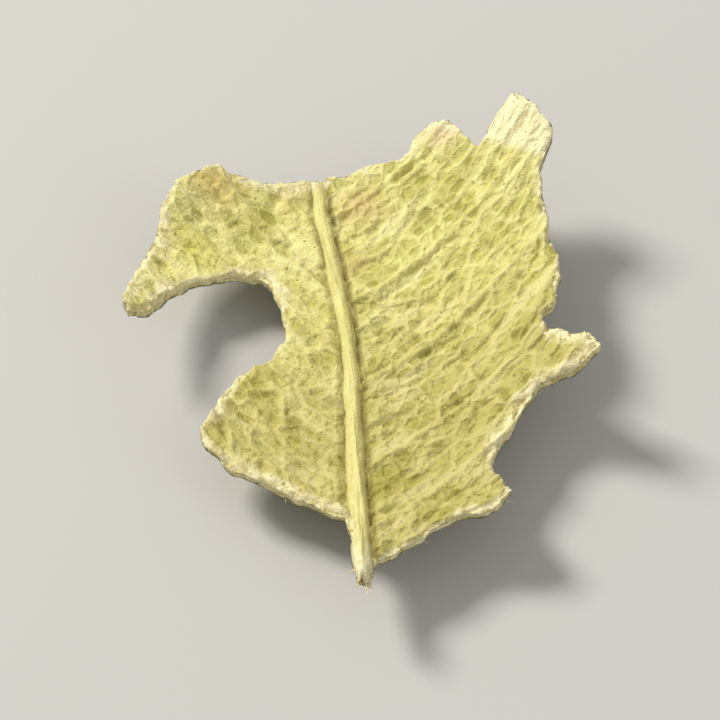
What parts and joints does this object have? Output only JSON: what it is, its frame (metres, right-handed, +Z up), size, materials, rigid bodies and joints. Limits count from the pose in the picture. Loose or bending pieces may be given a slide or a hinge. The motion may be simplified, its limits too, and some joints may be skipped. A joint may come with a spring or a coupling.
{
  "type": "dried lemon myrtle leaf piece",
  "caption": "Dried, cut piece of a lemon myrtle leaf, curled into a shallow cup, with torn edges, a raised midrib, side veins and a raised net on its upper side.",
  "frame": {"origin": "on the surface the piece rests on, under the middle of its box", "axes": "+Y along the midrib towards the leaf's tip, +X to the right of it, +Z up, out of the leaf's paler underside, which faces up"},
  "size_m": [0.0078, 0.0094, 0.0025],
  "materials": {
    "dried_leaf": "dry, matt to faintly waxy yellow green leaf, with paler veins and torn edges"
  },
  "bodies": {
    "root": {"leaf_piece": "dried_leaf"}
  },
  "joints": []
}
